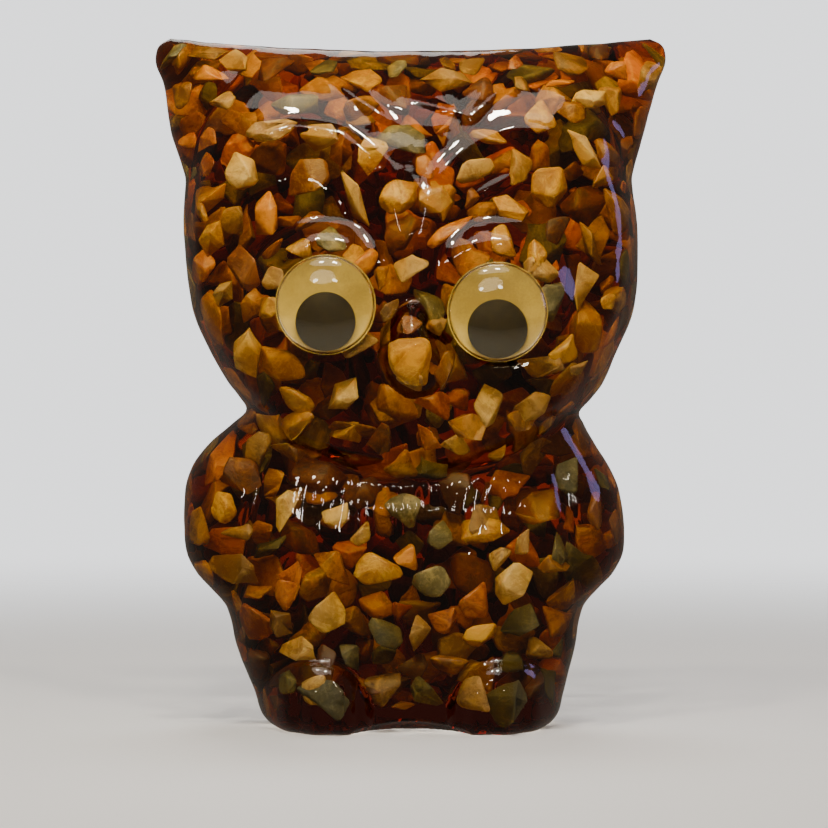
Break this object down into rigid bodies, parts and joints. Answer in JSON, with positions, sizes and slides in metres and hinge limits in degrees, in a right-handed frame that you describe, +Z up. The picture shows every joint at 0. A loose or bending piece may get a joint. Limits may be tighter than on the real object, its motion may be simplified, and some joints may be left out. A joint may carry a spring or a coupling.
{
  "type": "owl figurine",
  "caption": "Standing owl figurine cast in amber resin, packed with tumbled stone chips, with two glued-on wobble eyes whose loose pupils roll inside clear domes.",
  "frame": {"origin": "middle of the bounding box in X and Y, on the flat base", "axes": "+Z up, the owl faces -Y, +X to the right as it is seen from the front"},
  "size_m": [0.1074, 0.0582, 0.1444],
  "materials": {
    "amber_resin": "clear amber cast polyester resin, glossy from the mould",
    "honey_stone": "tumbled honey-coloured quartz chip wetted by the resin",
    "tan_stone": "tumbled tan chert chip",
    "cream_stone": "tumbled cream calcite chip",
    "grey_stone": "tumbled grey-green chip",
    "rust_stone": "tumbled rust-brown jasper chip",
    "orange_stone": "tumbled bright orange carnelian chip",
    "eye_glue": "dried clear adhesive, yellowed",
    "eye_white": "white styrene disc yellowed with age",
    "eye_clear": "clear vacuum-formed acetate dome",
    "eye_black": "black styrene disc, satin"
  },
  "bodies": {
    "owl": {"resin_body": "amber_resin", "ear_chip_left": "orange_stone", "ear_chip_right": "orange_stone", "brow_chip_1": "tan_stone", "brow_chip_2": "grey_stone", "brow_chip_3": "tan_stone", "brow_chip_4": "honey_stone", "brow_chip_5": "tan_stone", "brow_chip_6": "cream_stone", "brow_chip_7": "tan_stone", "brow_chip_8": "grey_stone", "face_chip_1": "cream_stone", "face_chip_2": "orange_stone", "face_chip_3": "tan_stone", "face_chip_4": "honey_stone", "face_chip_5": "tan_stone", "face_chip_6": "orange_stone", "face_chip_7": "honey_stone", "face_chip_8": "honey_stone", "face_chip_9": "rust_stone", "face_chip_10": "tan_stone", "face_chip_11": "tan_stone", "face_chip_12": "honey_stone", "face_chip_13": "cream_stone", "face_chip_14": "honey_stone", "face_chip_15": "cream_stone", "beak_chip": "honey_stone", "chin_chip_1": "orange_stone", "chin_chip_2": "tan_stone", "belly_chip_1": "cream_stone", "belly_chip_2": "cream_stone", "belly_chip_3": "grey_stone", "belly_chip_4": "honey_stone", "belly_chip_5": "honey_stone", "belly_chip_6": "grey_stone", "belly_chip_7": "cream_stone", "belly_chip_8": "cream_stone", "belly_chip_9": "tan_stone", "belly_chip_10": "honey_stone", "belly_chip_11": "tan_stone", "foot_chip_left": "grey_stone", "foot_chip_right": "grey_stone", "wing_chip_left": "honey_stone", "wing_chip_right": "rust_stone", "back_chip_1": "honey_stone", "back_chip_2": "tan_stone", "back_chip_3": "cream_stone", "back_chip_4": "grey_stone", "back_chip_5": "orange_stone", "back_chip_6": "tan_stone", "back_chip_7": "honey_stone", "eye_glue_left": "eye_glue", "eye_backing_left": "eye_white", "eye_cap_left": "eye_clear", "eye_glue_right": "eye_glue", "eye_backing_right": "eye_white", "eye_cap_right": "eye_clear"},
    "left_pupil": {"eye_pupil_left": "eye_black"},
    "right_pupil": {"eye_pupil_right": "eye_black"}
  },
  "joints": [
    {"name": "left_pupil_roll", "type": "hinge", "parent": "owl", "child": "left_pupil", "pos_m": [-0.0172, -0.0242, 0.0884], "axis": [0, -1, 0], "continuous": true},
    {"name": "right_pupil_roll", "type": "hinge", "parent": "owl", "child": "right_pupil", "pos_m": [0.0177, -0.0242, 0.0869], "axis": [0, -1, 0], "continuous": true}
  ]
}
